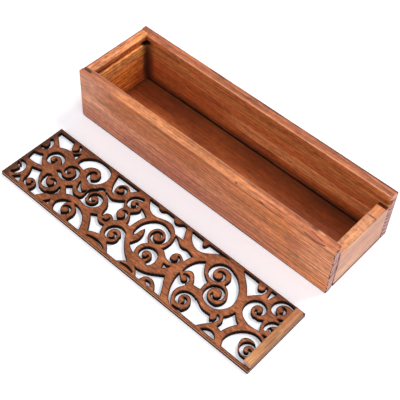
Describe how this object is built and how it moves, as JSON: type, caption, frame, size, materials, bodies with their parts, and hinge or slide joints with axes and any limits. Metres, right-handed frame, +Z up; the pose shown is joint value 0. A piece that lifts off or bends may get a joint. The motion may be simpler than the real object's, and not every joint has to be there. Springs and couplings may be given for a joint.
{
  "type": "pencil box",
  "caption": "Long wooden pencil box with grooved side walls, a lower front end and a thin sliding lid cut through with scroll fretwork, the lid laid beside it.",
  "frame": {"origin": "centre of the box's underside, on the surface it stands on; the lid lies beside the box on the -Y side", "axes": "+X along the box towards its low front end, where the lid slides out; +Z up; +Y towards the side wall away from the lid"},
  "size_m": [0.2211, 0.1413, 0.043],
  "materials": {
    "side_wood": "orange-brown stained softwood, satin",
    "end_wood": "bright orange-brown stained softwood, satin",
    "front_wood": "pale peach-orange stained softwood, satin",
    "bottom_wood": "brown stained thin board",
    "lid_wood": "walnut-brown thin sheet with darkened cut edges",
    "pull_wood": "light orange-tan, rounded and satin"
  },
  "bodies": {
    "box": {"side_wall_near": "side_wood", "side_wall_far": "side_wood", "back_end": "end_wood", "front_end": "front_wood", "bottom_board": "bottom_wood"},
    "lid": {"lid_fretwork_panel": "lid_wood", "lid_pull_strip": "pull_wood"}
  },
  "joints": [
    {"name": "lid_slide", "type": "slide", "parent": "box", "child": "lid", "axis": [1, 0, 0], "range_m": [0, 0.2175]}
  ]
}
